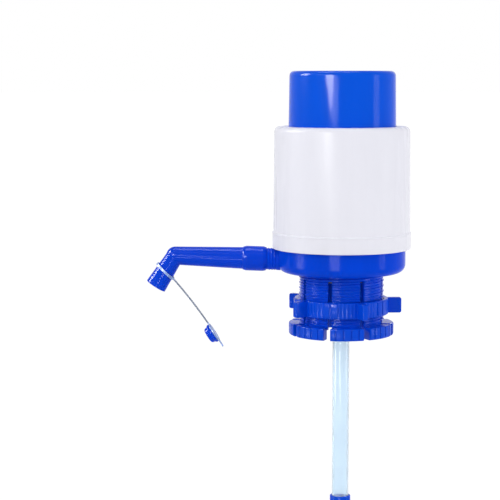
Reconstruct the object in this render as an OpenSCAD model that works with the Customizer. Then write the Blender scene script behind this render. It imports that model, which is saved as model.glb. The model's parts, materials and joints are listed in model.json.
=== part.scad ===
// Hand pump for a large water bottle: a sprung button squeezes a bellows, the air goes down into
// the bottle and the water climbs the dip tube to the spout. A split collar grips the bottle's neck.
// Millimetres, +Z up. The origin is on the pump's axis, in the plane where the bottle's rim seats.
// The spout points towards -X.

/* [Neck and collar] */
// Outer diameter of the bottle's neck
neck_d = 55; // [45:0.5:65]
// Radial play between the neck and the open collar
neck_play = 0.5; // [0.2:0.1:1]
// Depth of the collar below the rim's seat
collar_depth = 40.9; // [36:0.1:55]
// Wall of a finger
finger_wall = 3.4; // [2.4:0.1:4]
// Number of fingers
finger_count = 8; // [6:1:10]
// Width of the slot between two fingers
slot_w = 3.2; // [2:0.1:5]
// Height of the slots' closed end above the rim's seat
slot_top = 1.4; // [0:0.1:2]
// Angle of one slot from +X
slot_turn = -18.8; // [-22:0.1:22]
// Thickness of the web across the top of the collar
web_t = 2.5; // [2.2:0.1:4]
// Height of a finger's foot
foot_h = 8.9; // [6:0.1:12]
// How far a foot stands out from its finger
foot_out = 7.6; // [5:0.1:9]
// Gap between two feet
foot_gap = 5.2; // [4:0.1:7]
// Rounding of a foot's outer edges
foot_round = 1.6; // [0.6:0.1:2.5]
// Half the angle that the middle grip of a foot covers
grip_half_angle = 7.5; // [5:0.1:9]
// Width of the grooves between a foot's grips
grip_groove_w = 1.1; // [0.6:0.1:2]
// Depth of the grooves between a foot's grips
grip_groove_depth = 1.5; // [0.5:0.1:3]

/* [Mouth gasket] */
// Thickness of the gasket that the bottle's rim presses on
gasket_t = 3; // [2:0.1:4]
// Radial play between the gasket and the fingers
gasket_play = 0.3; // [0.1:0.1:0.6]
// Wall of the hub that goes up through the collar's web
gasket_hub_wall = 2.5; // [1.5:0.1:4]

/* [Lock ring] */
// Wall of the ring
ring_wall = 3.1; // [2.5:0.1:5]
// Height of the ring
ring_h = 11.8; // [8:0.1:16]
// Height of the ring's top above the rim's seat, where it is drawn
ring_top_z = -13.5; // [-18:0.1:-4]
// Running play between the ring's bore and the collar
ring_play = 0.2; // [0.1:0.05:0.4]
// Number of wings
wing_count = 5; // [3:1:8]
// How far a wing stands out from the ring
wing_out = 10.1; // [6:0.1:14]
// Thickness of a wing
wing_t = 4.2; // [3:0.1:6]
// Rounding of a wing's corners
wing_round = 1.4; // [0.5:0.1:3]
// Angle of one wing from +X
wing_turn = 2; // [-36:0.5:36]
// Angle covered by the raised pad midway between two wings
pad_angle = 17.8; // [10:0.1:24]
// Height of the pads
pad_out = 0.6; // [0.3:0.1:1.2]
// Width and depth of the groove down the middle of a pad
pad_groove = 0.9; // [0.5:0.1:1.5]

/* [Bowl] */
// Outer radius of the bowl
bowl_r = 47.4; // [44:0.1:55]
// Height of the bowl that shows below the housing
bowl_show_h = 17.8; // [14:0.1:25]
// Rounding of the bowl's bottom edge
bowl_round = 6.5; // [2:0.5:8]
// Wall of the bowl
bowl_wall = 2.2; // [1.8:0.1:3]
// Floor of the bowl
bowl_floor = 2.5; // [2:0.1:4]

/* [Housing] */
// Height of the housing
housing_h = 90; // [80:0.5:110]
// How far the housing's bottom band stands out beyond the bowl
band_out = 4; // [3.5:0.1:6]
// Height of the bottom band
band_h = 12.5; // [11:0.1:16]
// Step from the band in to the housing's wall
band_step = 0.8; // [0.3:0.1:1.5]
// How much the wall draws in towards the top
housing_draft = 0.6; // [0:0.1:1.5]
// Rounding of the housing's shoulder
shoulder_round = 3.8; // [2:0.1:6]
// Wall of the housing
housing_wall = 2.3; // [1.8:0.1:3]
// Length of the guide sleeve that hangs inside the top opening
guide_len = 26; // [15:1:30]

/* [Button] */
// Outer radius of the button where it slides in the housing
button_r = 39.6; // [36:0.1:42]
// How much the button draws in at its top
button_draft = 0.6; // [0:0.1:1.5]
// How far the button stands out of the housing
button_show_h = 40.6; // [37:0.1:50]
// Travel of the button
press_travel = 35; // [20:1:36]
// Rounding of the button's top edge
button_round = 3.6; // [1.5:0.1:6]
// Depth of the dish in the button's top
button_dish = 0.8; // [0.4:0.1:1.6]
// Wall of the button
button_wall = 2; // [1.6:0.1:3]
// Play between the button and the guide sleeve
button_play = 0.35; // [0.2:0.05:0.6]
// How far the button's stop flange stands out
stop_flange_out = 4; // [3:0.1:5]

/* [Bellows and spring] */
// Room between the bellows' folds and the button's wall
bellows_room = 3.8; // [2.5:0.1:6]
// Depth of the bellows' folds
fold_depth = 5.5; // [3:0.1:7]
// Number of folds
fold_count = 10; // [6:1:12]
// Wall of the bellows
bellows_wall = 1.2; // [1:0.1:1.6]
// Thickness of the bellows' end flanges
bellows_flange_t = 1.6; // [1.2:0.1:2.5]
// Diameter of the spring's wire
wire_d = 1.8; // [1.2:0.1:2]
// Number of open turns between the spring's closed ends
open_turns = 8; // [5:1:10]

/* [Plates, valves and screws] */
// Thickness of the pump plate and the bellows' top plate
plate_t = 2.5; // [2:0.1:3]
// Thickness of the ring that clamps the bellows
clamp_t = 2.5; // [2:0.1:3]
// Radius of the valves' skirts
valve_r = 8.5; // [7:0.1:10]
// Radius of the valves' stems
valve_stem_r = 1.6; // [1.2:0.1:2]
// Radius of an air hole under a valve's skirt
air_hole_r = 1.5; // [1:0.1:1.8]
// Radius of a screw's shank
screw_r = 1.4; // [1.2:0.1:1.6]
// Radius of a screw's head
screw_head_r = 2.6; // [2.2:0.1:2.9]
// Height of a screw's head
screw_head_h = 1; // [0.8:0.1:1.2]

/* [Spout] */
// Height of the spout's axis above the rim's seat, at the bowl's wall
spout_z = 14.9; // [14.2:0.1:16]
// Rise of the spout's arm above level
spout_rise = 2; // [0:0.5:4]
// Outer radius of the bowl's stub
stub_r = 7.9; // [7.2:0.1:8.4]
// Length of the stub that shows between the bowl and the sleeve
stub_show = 8.4; // [6:0.1:12]
// Length of the sleeve that goes over the stub
sleeve_len = 17.3; // [14:0.1:22]
// Outer radius of the sleeve
sleeve_r = 9.2; // [8.9:0.1:10]
// Length of the chamfer at each end of the sleeve
sleeve_chamfer = 2.4; // [1:0.1:3]
// Distance from the bowl's wall to the elbow
elbow_s = 76; // [55:0.5:100]
// Outer radius of the arm next to the sleeve
arm_r = 8.1; // [7:0.05:8.4]
// Outer radius of the arm at the elbow
arm_end_r = 6.8; // [6:0.05:7.4]
// Angle of the nozzle leg below level
leg_drop = 57.3; // [30:0.1:80]
// Length of the nozzle leg from the elbow to the mouth
leg_len = 27; // [25:0.5:40]
// Outer radius of the leg at the elbow
leg_r = 6.4; // [5.7:0.05:6.8]
// Outer radius of the leg at its mouth
leg_mouth_r = 7.9; // [7.2:0.05:8.4]
// Radius of the mouth's bore
mouth_r = 6.3; // [5.5:0.05:6.5]
// Length of the mouth's bore
mouth_len = 9; // [6:0.5:12]
// Wall of the arm
arm_wall = 1.5; // [1:0.1:2]
// Play between the stub and the sleeve's socket
socket_play = 0.08; // [0.04:0.01:0.1]
// Thickness of the spout's seal
seal_t = 2; // [1:0.1:3]

/* [Cap and strap] */
// Distance of the strap's loop from the elbow
loop_s = 13.7; // [11:0.1:16]
// Tilt of the loop on the leg
loop_tilt = 11.5; // [0:0.5:14]
// Play between the loop and the leg
loop_play = 0.15; // [0.1:0.05:0.4]
// Thickness of the loop's band
loop_wall = 0.9; // [0.6:0.1:1.5]
// Height of the loop's band
loop_h = 2; // [1.5:0.1:3]
// Width of the strap
strap_w = 4.5; // [3:0.1:7]
// Thickness of the strap
strap_t = 1; // [0.6:0.1:1.5]
// Length of the strap with its pull tab
strap_len = 63; // [60:0.5:80]
// Length of strap from the loop to the middle of the cap
cap_s = 50.7; // [48:0.1:52]
// Angle of the strap below level, at the loop and at the tab
strap_angles = [49, 59]; // [45:1:65]
// Radius of the strap's eye that carries the cap
eye_r = 7.3; // [7:0.1:9]
// Thickness of the eye
eye_t = 1.2; // [0.8:0.1:2]
// Radius of the cap's rim
cap_rim_r = 6.85; // [6.6:0.05:7.2]
// Height of the cap
cap_h = 4.6; // [3.5:0.1:7]
// Play between the cap's plug and the mouth's bore
plug_play = 0.1; // [0.05:0.05:0.3]

/* [Dip tube] */
// Outer radius of the dip tube
tube_r = 6.3; // [6:0.1:7]
// Wall of the dip tube
tube_wall = 1; // [0.8:0.1:1.4]
// Lengths of the upper, middle and lower tube
tube_lengths = [176, 150, 150]; // [60:1:250]
// Play between a tube and what it is pushed over or into
tube_play = 0.05; // [0.02:0.01:0.1]
// Length of a coupler
coupler_len = 30; // [20:1:40]
// Wall of a coupler
coupler_wall = 1.4; // [1:0.1:2]
// Thickness of the stop rib in a coupler
coupler_stop = 1.5; // [1:0.1:3]
// Height of the notches in the tube's foot
notch_h = 5; // [3:0.5:8]

/* [Hidden] */

$fn = 96;
eps = 0.01;

royal_blue = [0.02, 0.27, 0.85];
deep_blue = [0.01, 0.2, 0.75];
housing_white = [0.93, 0.93, 0.97];
clear_plastic = [0.75, 0.84, 0.92];
rubber_grey = [0.32, 0.33, 0.35];
silicone = [0.85, 0.85, 0.82];
steel = [0.7, 0.71, 0.72];

// Clearances shared by all pieces
seat_gap = 0.1;   // between two pieces that rest on each other with a curved or small face
soft_gap = 0.3;   // between a soft or snapped piece and its neighbour
screw_play = 0.05; // between a shank and its hole
arc_steps = 8;    // edges of a quarter-round outline

// Neck and collar
collar_bore_r = neck_d / 2 + neck_play;
collar_r = collar_bore_r + finger_wall;
bowl_z = gasket_t + web_t;
foot_r = collar_r + foot_out;
foot_top_z = foot_h - collar_depth;
grip_chamfer = 1.4;
port_r = 1.5;
nipple_r = tube_r - tube_wall - tube_play;
well_r = nipple_r + 1.15;
port_ring_r = well_r + port_r + 0.7;
gasket_hub_r = port_ring_r + port_r + soft_gap;
web_hole_r = gasket_hub_r + gasket_hub_wall + seat_gap;
gasket_r = collar_bore_r - gasket_play;

// Lock ring
ring_bore_r = collar_r + ring_play;
ring_r = ring_bore_r + ring_wall;
ring_chamfer = 0.6;
wing_tip_r = ring_r + wing_out;
wing_inset = 0.15; // the wings stop just short of the ring's end faces
pad_inset = ring_chamfer + 0.25;

// Bowl and housing, from the rim's seat upwards
band_r = bowl_r + band_out;
housing_z = bowl_z + bowl_show_h;
housing_top_z = housing_z + housing_h;
band_top_z = housing_z + band_h;
skirt_r = band_r - housing_wall;
bowl_rim_z = band_top_z - 1.3;
floor_z = bowl_z + bowl_floor;
plate_z = floor_z + 19;
plate_r = bowl_r - bowl_wall - 0.2;
bellows_z = plate_z + plate_t;
clamp_z = bellows_z + bellows_flange_t;
ledge_w = 2.2;
ledge_h = 2.4;
snap_z = housing_z + 6.4;
snap_h = 1.6;
snap_r = skirt_r - soft_gap;
catch_r = bowl_r + soft_gap;
catch_h = 1.5;

// Housing wall and top opening
wall_low_r = band_r - band_step;
wall_top_r = wall_low_r - housing_draft;
opening_r = button_r + button_play;
guide_wall = 1.6;
guide_end_z = housing_top_z - guide_len;

// Button
button_top_z = housing_top_z + button_show_h;
button_top_r = button_r - button_draft;
button_roof = 2.4;
roof_z = button_top_z - button_roof - button_dish;
stop_flange_t = 2.6;
stop_top_z = guide_end_z - seat_gap;
stop_bottom_z = stop_top_z - stop_flange_t;
stop_r = button_r + stop_flange_out;

// Stack under the button's roof
seat_ring_h = 2.5;
flange_top_z = roof_z - seat_ring_h;
top_plate_top_z = flange_top_z - bellows_flange_t;
top_plate_z = top_plate_top_z - plate_t;
bellows_r = button_r - button_wall - bellows_room;
bellows_inner_r = bellows_r - fold_depth;
top_plate_r = bellows_inner_r - bellows_wall - 0.5;
top_screw_r = bellows_inner_r - 5;
top_flange_inner_r = top_screw_r - 4.5;
top_screw_count = 3;
top_screw_turn = 30;

// Bottom clamp of the bellows
clamp_inner_r = bellows_r + 1.6;
clamp_outer_r = plate_r - 2;
clamp_screw_r = (clamp_inner_r + clamp_outer_r) / 2;
clamp_screw_count = 4;
screw_turn = 45;
post_r = screw_r + 2.2;
pilot_depth = 7;
clamp_screw_len = clamp_t + bellows_flange_t + plate_t + pilot_depth - 1;

// Screws of the collar
collar_screw_r = 20;
collar_screw_count = 4;
collar_post_h = 8;
collar_screw_len = web_t - screw_head_h - seat_gap + bowl_floor + collar_post_h - 3;

// Spring seats
spring_r = top_screw_r - 7;
spring_lip = 0.3;
seat_lip_w = 1.4;
seat_lip_h = 2;
spring_low_z = bellows_z + wire_d / 2 + seat_gap;
spring_high_z = top_plate_z - wire_d / 2 - seat_gap;
closed_turns = 1;
closed_gap = 0.5;
rings_per_turn = 8;
wire_sides = 6;

// Valves
valve_skirt_t = 0.8;
valve_bulb_r = valve_stem_r + 0.7;
valve_bulb_h = 1.4;
air_hole_count = 6;
air_hole_ring_r = (valve_stem_r + valve_r) / 2;

// Water channel and air ports in the bowl
channel_r = 4;
pipe_r = 6;
nipple_bore_r = nipple_r - 1.5;
nipple_len = 24;
shoulder_z = -1.9;

// Spout
stub_len = stub_show + sleeve_len - 3.7;
socket_r = stub_r + socket_play;
socket_floor_s = stub_len + seal_t + 2 * seat_gap;
sleeve_end_s = stub_show + sleeve_len;
sleeve_lip_r = socket_r + 0.55;
leg_turn = spout_rise + leg_drop;
throat_r = leg_r - arm_wall;

// Loop, strap and cap
loop_low_leg_r = leg_r + (leg_mouth_r - leg_r) * (loop_s + loop_h) / leg_len;
loop_bore_r = (loop_low_leg_r + loop_h / 2 * sin(loop_tilt)) / cos(loop_tilt) + loop_play;
loop_r = loop_bore_r + loop_wall;
elbow_pos = [-bowl_r - elbow_s * cos(spout_rise), spout_z + elbow_s * sin(spout_rise)];
loop_pos = elbow_pos + loop_s * [-cos(leg_drop), -sin(leg_drop)];
loop_slope = 90 - leg_drop + loop_tilt;
strap_root = loop_pos + (loop_r - 0.3) * [cos(loop_slope), -sin(loop_slope)];
strap_arc_r = strap_len / ((strap_angles[1] - strap_angles[0]) * PI / 180);
strap_centre = strap_root - strap_arc_r * [sin(strap_angles[0]), cos(strap_angles[0])];
cap_angle = 90 - strap_angles[0] - (strap_angles[1] - strap_angles[0]) * cap_s / strap_len;
rivet_r = 2.5;
plug_r = mouth_r - plug_play;
plug_tip_r = plug_r - 0.6;
cap_rim_h = 1.2;
cap_round = 1.5;

// Dip tube
tube_top_z = shoulder_z - seat_gap;
upper_end_z = tube_top_z - tube_lengths[0];
middle_top_z = upper_end_z - coupler_stop - 2 * seat_gap;
middle_end_z = middle_top_z - tube_lengths[1];
lower_top_z = middle_end_z - coupler_stop - 2 * seat_gap;
lower_end_z = lower_top_z - tube_lengths[2];
tube_bore_r = tube_r - tube_wall;
notch_w = 5;

// Points of an arc about c, from angle a to angle b
function arc(c, r, a, b, steps = arc_steps) =
    [for (i = [0:steps]) c + r * [cos(a + (b - a) * i / steps), sin(a + (b - a) * i / steps)]];

// A plain tube along Z
module tube(outer_r, inner_r, z, h) {
    translate([0, 0, z])
        difference() {
            cylinder(r = outer_r, h = h);
            translate([0, 0, -eps])
                cylinder(r = inner_r, h = h + 2 * eps);
        }
}

// Puts copies of its children round the axis, the first at the angle turn
module ring_of(count, turn = 0) {
    for (i = [0:count - 1])
        rotate([0, 0, turn + i * 360 / count])
            children();
}

// Puts its children in the spout's frame: +Z runs out along the arm from the bowl's wall
module on_spout() {
    translate([-bowl_r, 0, spout_z])
        rotate([0, spout_rise - 90, 0])
            children();
}

// Puts its children in the nozzle leg's frame: +Z runs from the elbow to the mouth
module on_leg() {
    on_spout()
        translate([0, 0, elbow_s])
            rotate([0, -leg_turn, 0])
                children();
}

// Puts its children on the strap at its angle a from +X about the arc's centre, +Z facing outwards
module on_strap(a) {
    translate([strap_centre[0] + strap_arc_r * cos(a), 0, strap_centre[1] + strap_arc_r * sin(a)])
        rotate([0, 90 - a, 0])
            children();
}

// A pan-head screw that points down, with the underside of its head at z = 0
module screw(len) {
    translate([0, 0, -len])
        cylinder(r = screw_r, h = len);
    cylinder(r = screw_head_r, h = screw_head_h);
}

// A mushroom valve that hangs below a plate's underside at z = 0
module mushroom_valve(plate_h) {
    rotate_extrude()
        polygon([
            [0, plate_h + seat_gap + valve_bulb_h],
            [valve_bulb_r * 0.6, plate_h + seat_gap + valve_bulb_h],
            [valve_bulb_r, plate_h + seat_gap],
            [valve_stem_r, plate_h + seat_gap],
            [valve_stem_r, -seat_gap],
            [valve_r, -seat_gap],
            [valve_r, -seat_gap - valve_skirt_t / 2],
            [valve_stem_r * 2, -seat_gap - valve_skirt_t * 1.6],
            [0, -seat_gap - valve_skirt_t * 1.6]
        ]);
}

// The stem hole and the air holes that a mushroom valve covers
module valve_holes(plate_h) {
    translate([0, 0, -eps])
        cylinder(r = valve_stem_r + seat_gap, h = plate_h + 2 * eps);
    ring_of(air_hole_count)
        translate([air_hole_ring_r, 0, -eps])
            cylinder(r = air_hole_r, h = plate_h + 2 * eps);
}

// The raised lip that keeps the spring's end in place
module spring_lip_ring(z, h) {
    lip_r = spring_r + wire_d / 2 + spring_lip;
    tube(lip_r + seat_lip_w, lip_r, z, h);
}

// The blue button: a deep cup, mouth down, with a stop flange at its foot and a seat ring under its roof
module push_button() {
    dish_r = button_top_r - button_round - 2.5;
    inner_r = button_r - button_wall;
    inner_top_r = button_top_r - button_wall;
    color(royal_blue)
        difference() {
            union() {
                rotate_extrude()
                    polygon(concat(
                        [[0, roof_z], [inner_top_r - 1, roof_z], [inner_top_r, roof_z - 1],
                            [inner_r, housing_top_z], [inner_r, stop_bottom_z],
                            [stop_r, stop_bottom_z], [stop_r, stop_top_z], [button_r, stop_top_z],
                            [button_r, housing_top_z]],
                        arc([button_top_r - button_round, button_top_z - button_round],
                            button_round, 0, 90),
                        [[dish_r + button_dish, button_top_z],
                            [dish_r - button_dish, button_top_z - button_dish],
                            [0, button_top_z - button_dish]]
                    ));
                tube(top_screw_r + post_r - 0.6, top_flange_inner_r + 1, flange_top_z,
                    seat_ring_h + eps);
            }
            // ways for the air across the seat ring, and the pilot holes between them
            ring_of(top_screw_count, top_screw_turn + 180 / top_screw_count)
                translate([top_flange_inner_r, -valve_r / 2, flange_top_z - eps])
                    cube([2 * post_r + 2, valve_r, seat_ring_h - 0.5]);
            ring_of(top_screw_count, top_screw_turn)
                translate([top_screw_r, 0, flange_top_z - eps])
                    cylinder(r = screw_r + screw_play, h = seat_ring_h + button_roof / 2);
        }
}

// The white housing: a tall sleeve with a rounded shoulder, a guide sleeve and a snapped skirt
module white_housing() {
    inner_r = wall_top_r - housing_wall;
    step_z = bowl_rim_z + soft_gap;
    band_edge = band_step;
    color(housing_white)
        rotate_extrude()
            polygon(concat(
                [[catch_r, snap_z - soft_gap - catch_h], [skirt_r, snap_z - 2 * catch_h - soft_gap],
                    [skirt_r, housing_z], [band_r - band_edge / 2, housing_z],
                    [band_r, housing_z + band_edge], [band_r, band_top_z - band_edge],
                    [wall_low_r, band_top_z]],
                arc([wall_top_r - shoulder_round, housing_top_z - shoulder_round],
                    shoulder_round, 0, 90),
                [[opening_r + 0.8, housing_top_z], [opening_r, housing_top_z - 0.8],
                    [opening_r, guide_end_z], [opening_r + guide_wall, guide_end_z],
                    [opening_r + guide_wall, housing_top_z - housing_wall],
                    [inner_r - shoulder_round / 2, housing_top_z - housing_wall],
                    [inner_r, housing_top_z - housing_wall - shoulder_round / 2],
                    [inner_r, step_z], [skirt_r, step_z], [skirt_r, snap_z - soft_gap],
                    [catch_r, snap_z - soft_gap]]
            ));
}

// The blue bowl: shell, snap bead, plate ledge, screw posts, water channel, stub and tube nipple
module base_bowl() {
    inner_r = bowl_r - bowl_wall;
    inner_round = bowl_round - bowl_wall;
    rim_r = min(snap_r, bowl_r + 0.9);
    color(royal_blue)
        difference() {
            union() {
                rotate_extrude()
                    polygon(concat(
                        [[0, bowl_z]],
                        arc([bowl_r - bowl_round, bowl_z + bowl_round], bowl_round, -90, 0),
                        [[bowl_r, snap_z], [snap_r, snap_z + 0.2], [snap_r, snap_z + snap_h],
                            [bowl_r, snap_z + 2 * snap_h], [bowl_r, bowl_rim_z - snap_h],
                            [rim_r, bowl_rim_z - 0.6], [rim_r, bowl_rim_z],
                            [inner_r, bowl_rim_z], [inner_r, plate_z],
                            [inner_r - ledge_w, plate_z], [inner_r - ledge_w, plate_z - ledge_h],
                            [inner_r, plate_z - 2 * ledge_h]],
                        arc([inner_r - inner_round, floor_z + inner_round], inner_round, 0, -90),
                        [[0, floor_z]]
                    ));
                // posts for the clamp's screws and for the collar's screws
                ring_of(clamp_screw_count, screw_turn)
                    translate([clamp_screw_r, 0, floor_z - eps])
                        cylinder(r = post_r, h = plate_z - floor_z + eps);
                ring_of(collar_screw_count, screw_turn)
                    translate([collar_screw_r, 0, floor_z - eps])
                        cylinder(r = post_r, h = collar_post_h);
                // the well, the radial pipe and the stub outside
                translate([0, 0, bowl_z + eps])
                    cylinder(r = well_r, h = spout_z + pipe_r - bowl_z);
                on_spout()
                    translate([0, 0, -bowl_r])
                        cylinder(r = pipe_r, h = bowl_r);
                on_spout()
                    translate([0, 0, -bowl_wall / 2])
                        cylinder(r = stub_r, h = stub_len + bowl_wall / 2);
                // the shoulder and the nipple that the dip tube is pushed over
                translate([0, 0, shoulder_z])
                    cylinder(r = well_r, h = bowl_z - shoulder_z + eps);
                translate([0, 0, shoulder_z - nipple_len])
                    cylinder(r = nipple_r, h = nipple_len + eps);
            }
            translate([0, 0, shoulder_z - nipple_len - eps])
                cylinder(r = nipple_bore_r, h = spout_z - shoulder_z + nipple_len);
            on_spout()
                translate([0, 0, -bowl_r])
                    cylinder(r = channel_r, h = bowl_r + stub_len + eps);
            ring_of(3, -60)
                translate([port_ring_r, 0, bowl_z - eps])
                    cylinder(r = port_r, h = bowl_floor + 2 * eps);
            ring_of(clamp_screw_count, screw_turn)
                translate([clamp_screw_r, 0, plate_z - pilot_depth])
                    cylinder(r = screw_r + screw_play, h = pilot_depth + eps);
            ring_of(collar_screw_count, screw_turn)
                translate([collar_screw_r, 0, bowl_z - eps])
                    cylinder(r = screw_r + screw_play, h = bowl_floor + collar_post_h - 1.5);
        }
}

// The plate that closes the bowl and carries the bellows
module pump_plate() {
    color(royal_blue)
        translate([0, 0, plate_z]) {
            difference() {
                cylinder(r = plate_r, h = plate_t);
                valve_holes(plate_t);
                ring_of(clamp_screw_count, screw_turn)
                    translate([clamp_screw_r, 0, -eps])
                        cylinder(r = screw_r + screw_play, h = plate_t + 2 * eps);
            }
            spring_lip_ring(plate_t - eps, seat_lip_h);
        }
}

// The bellows: folds between two flanges
module bellows() {
    low_z = clamp_z + 0.8;
    high_z = top_plate_top_z - 0.8;
    fold_h = (high_z - low_z) / fold_count;
    lean = bellows_wall / 2;
    // a fold's outline goes in, out and in again; the inner surface follows it one wall further in
    outer = [for (i = [0:fold_count - 1], p = [[0, 0.06], [1, 0.42], [1, 0.58], [0, 0.94]])
        [bellows_inner_r + p[0] * (bellows_r - bellows_inner_r), low_z + fold_h * (i + p[1])]];
    inner = [for (p = outer) p - [bellows_wall, 0]];
    color(rubber_grey)
        difference() {
            rotate_extrude()
                polygon(concat(
                    [[clamp_outer_r, bellows_z], [clamp_outer_r, clamp_z],
                        [bellows_inner_r + lean, clamp_z]],
                    outer,
                    [[bellows_inner_r + lean, top_plate_top_z], [bellows_r - 1, top_plate_top_z],
                        [bellows_r - 1, flange_top_z], [top_flange_inner_r, flange_top_z],
                        [top_flange_inner_r, top_plate_top_z],
                        [bellows_inner_r - bellows_wall, top_plate_top_z]],
                    [for (i = [len(inner) - 1:-1:0]) inner[i]],
                    [[bellows_inner_r - bellows_wall, bellows_z]]
                ));
            ring_of(clamp_screw_count, screw_turn)
                translate([clamp_screw_r, 0, bellows_z - eps])
                    cylinder(r = screw_r + soft_gap, h = bellows_flange_t + 2 * eps);
            ring_of(top_screw_count, top_screw_turn)
                translate([top_screw_r, 0, top_plate_top_z - eps])
                    cylinder(r = screw_r + soft_gap, h = bellows_flange_t + 2 * eps);
        }
}

// The ring that clamps the bellows' lower flange to the plate
module bellows_clamp_ring() {
    color(deep_blue)
        translate([0, 0, clamp_z])
            difference() {
                cylinder(r = clamp_outer_r, h = clamp_t);
                translate([0, 0, -eps])
                    cylinder(r = clamp_inner_r, h = clamp_t + 2 * eps);
                ring_of(clamp_screw_count, screw_turn)
                    translate([clamp_screw_r, 0, -eps])
                        cylinder(r = screw_r + screw_play, h = clamp_t + 2 * eps);
            }
}

module clamp_ring_screws() {
    color(steel)
        ring_of(clamp_screw_count, screw_turn)
            translate([clamp_screw_r, 0, clamp_z + clamp_t])
                screw(clamp_screw_len);
}

// The plate inside the bellows that clamps its upper flange to the button
module bellows_top_plate() {
    color(deep_blue)
        translate([0, 0, top_plate_z]) {
            difference() {
                cylinder(r = top_plate_r, h = plate_t);
                valve_holes(plate_t);
                ring_of(top_screw_count, top_screw_turn)
                    translate([top_screw_r, 0, -eps])
                        cylinder(r = screw_r + screw_play, h = plate_t + 2 * eps);
            }
            spring_lip_ring(-seat_lip_h, seat_lip_h + eps);
        }
}

module top_plate_screws() {
    color(steel)
        ring_of(top_screw_count, top_screw_turn)
            translate([top_screw_r, 0, top_plate_z])
                mirror([0, 0, 1])
                    screw(plate_t + bellows_flange_t + seat_ring_h);
}

// The return spring: one unbroken wire, with a closed turn at each end
spring_turns = open_turns + 2 * closed_turns;
closed_rise = wire_d + closed_gap;
open_rise = (spring_high_z - spring_low_z - 2 * closed_turns * closed_rise) / open_turns;
function spring_rise(t) =
    t < closed_turns ? t * closed_rise
    : t < closed_turns + open_turns ? closed_turns * closed_rise + (t - closed_turns) * open_rise
    : spring_high_z - spring_low_z - (spring_turns - t) * closed_rise;
spring_path = [for (i = [0:spring_turns * rings_per_turn])
    let (t = i / rings_per_turn)
    [spring_r * cos(360 * t), spring_r * sin(360 * t), spring_low_z + spring_rise(t)]];
spring_gap = min([for (i = [0:len(spring_path) - rings_per_turn],
    j = [i + rings_per_turn - 2:min(i + rings_per_turn + 2, len(spring_path) - 1)])
    norm(spring_path[j] - spring_path[i])]) - wire_d;

module return_spring() {
    last = len(spring_path) - 1;
    points = [for (i = [0:last], k = [0:wire_sides - 1])
        let (
            turn = 360 * i / rings_per_turn,
            out = [cos(turn), sin(turn), 0],
            a = 360 * k / wire_sides
        )
        spring_path[i] + wire_d / 2 * (cos(a) * out + sin(a) * [0, 0, 1])];
    walls = [for (i = [0:last - 1], k = [0:wire_sides - 1])
        let (
            next = (k + 1) % wire_sides,
            a = i * wire_sides + k,
            b = i * wire_sides + next,
            c = a + wire_sides,
            d = b + wire_sides
        )
        each [[a, b, d], [a, d, c]]];
    low_end = [for (k = [1:wire_sides - 2]) [0, k + 1, k]];
    high_end = [for (k = [1:wire_sides - 2])
        [last * wire_sides, last * wire_sides + k, last * wire_sides + k + 1]];
    echo(spring_least_gap = spring_gap);
    color(steel)
        polyhedron(points = points, faces = concat(walls, low_end, high_end));
}

module intake_valve() {
    color(silicone)
        translate([0, 0, top_plate_z])
            mushroom_valve(plate_t);
}

module delivery_valve() {
    color(silicone)
        translate([0, 0, plate_z])
            mushroom_valve(plate_t);
}

// The split collar: a web at the top, fingers below it, and a foot with three grips on each finger
module split_collar() {
    slot_h = slot_top + collar_depth;
    color(deep_blue)
        difference() {
            rotate_extrude()
                polygon(concat(
                    [[web_hole_r, gasket_t], [web_hole_r, bowl_z], [collar_r, bowl_z],
                        [collar_r, foot_top_z]],
                    arc([foot_r - foot_round, foot_top_z - foot_round], foot_round, 90, 0, 4),
                    arc([foot_r - foot_round, foot_round - collar_depth], foot_round, 0, -90, 4),
                    [[collar_bore_r + grip_chamfer, -collar_depth],
                        [collar_bore_r, grip_chamfer - collar_depth], [collar_bore_r, gasket_t]]
                ));
            ring_of(finger_count, slot_turn)
                translate([web_hole_r, -slot_w / 2, -collar_depth - eps])
                    cube([foot_r, slot_w, slot_h]);
            ring_of(finger_count, slot_turn)
                translate([collar_r, -foot_gap / 2, -collar_depth - eps])
                    cube([foot_out + 1, foot_gap, foot_h + 2 * eps]);
            for (side = [-1, 1])
                ring_of(finger_count, slot_turn + 180 / finger_count + side * grip_half_angle)
                    translate([foot_r - grip_groove_depth, -grip_groove_w / 2, -collar_depth - eps])
                        cube([grip_groove_depth + 1, grip_groove_w, foot_h + 2 * eps]);
            ring_of(collar_screw_count, screw_turn)
                translate([collar_screw_r, 0, gasket_t - eps]) {
                    cylinder(r = screw_r + screw_play, h = web_t + 2 * eps);
                    cylinder(r = screw_head_r + soft_gap, h = screw_head_h + seat_gap + eps);
                }
        }
}

module collar_screws() {
    color(steel)
        ring_of(collar_screw_count, screw_turn)
            translate([collar_screw_r, 0, gasket_t + screw_head_h + seat_gap])
                mirror([0, 0, 1])
                    screw(collar_screw_len);
}

// The gasket on the bottle's rim, with a hub that seals against the bowl's floor
module mouth_gasket() {
    color(rubber_grey)
        rotate_extrude()
            polygon([
                [gasket_hub_r, 0], [gasket_r, 0], [gasket_r, gasket_t],
                [gasket_hub_r + gasket_hub_wall, gasket_t],
                [gasket_hub_r + gasket_hub_wall, bowl_z], [gasket_hub_r, bowl_z]
            ]);
}

// The outline of a wing, from inside the ring's wall to its tip, with rounded corners at the tip
module wing_outline() {
    tip = wing_tip_r - ring_bore_r - ring_wall / 2;
    polygon(concat(
        [[0, wing_inset]],
        arc([tip - wing_round, wing_inset + wing_round], wing_round, -90, 0),
        arc([tip - wing_round, ring_h - wing_inset - wing_round], wing_round, 0, 90),
        [[0, ring_h - wing_inset]]
    ));
}

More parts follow.
